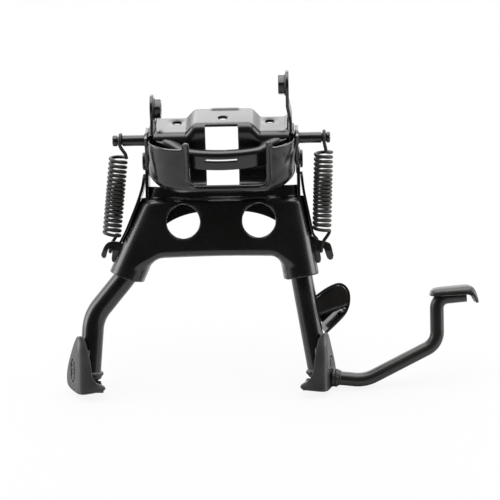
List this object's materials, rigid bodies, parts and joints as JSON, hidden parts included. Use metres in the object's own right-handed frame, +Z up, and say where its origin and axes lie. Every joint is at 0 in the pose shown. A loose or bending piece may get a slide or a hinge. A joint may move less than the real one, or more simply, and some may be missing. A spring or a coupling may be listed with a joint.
{
  "type": "motorcycle centre stand",
  "caption": "Swinging two-legged motorcycle centre stand on a bolted bracket, with a side pedal and two side springs.",
  "frame": {"origin": "middle of the two outer bolt holes, on the top face of the bracket shelf", "axes": "+X to the right seen from the front, +Y to the rear, +Z up with the shelf level"},
  "size_m": [0.4375, 0.1404, 0.315],
  "materials": {
    "black_paint": "gloss black paint over pressed steel",
    "foot_coat": "satin grey coat over pressed steel",
    "pedal_paint": "semi gloss dark brown black paint",
    "spring_coat": "satin dark oiled coat over spring wire",
    "pin_steel": "black coated pin heads"
  },
  "bodies": {
    "bracket": {"shelf_plate": "black_paint", "front_tray": "black_paint", "inner_band": "black_paint", "left_ear": "black_paint", "right_ear": "black_paint", "left_ear_nut": "black_paint", "right_ear_nut": "black_paint", "left_spring_pin": "black_paint", "right_spring_pin": "black_paint", "left_pivot_pin": "pin_steel", "right_pivot_pin": "pin_steel"},
    "stand": {"crossmember": "black_paint", "rear_web": "black_paint", "left_arm": "black_paint", "right_arm": "black_paint", "left_hook_plate": "black_paint", "right_hook_plate": "black_paint", "left_leg": "black_paint", "right_leg": "black_paint", "left_foot": "foot_coat", "right_foot": "foot_coat", "pedal_arm": "pedal_paint", "pedal_pad": "pedal_paint", "leg_loop": "black_paint"},
    "left_spring_body": {"left_spring": "spring_coat"},
    "right_spring_body": {"right_spring": "spring_coat"}
  },
  "joints": [
    {"name": "stand_swing", "type": "hinge", "parent": "bracket", "child": "stand", "pos_m": [0, -0.0103, -0.036], "axis": [1, 0, 0], "range_deg": [0, 95]},
    {"name": "left_spring_turn", "type": "hinge", "parent": "bracket", "child": "left_spring_body", "pos_m": [0, -0.02, -0.008], "axis": [1, 0, 0], "range_deg": [0, 75], "deforming": ["left_spring"]},
    {"name": "right_spring_turn", "type": "hinge", "parent": "bracket", "child": "right_spring_body", "pos_m": [0, -0.02, -0.008], "axis": [1, 0, 0], "range_deg": [0, 75], "deforming": ["right_spring"]}
  ],
  "couplings": [
    {"joint": "left_spring_turn", "follows": "stand_swing", "ratio": 0.776},
    {"joint": "right_spring_turn", "follows": "stand_swing", "ratio": 0.776}
  ]
}
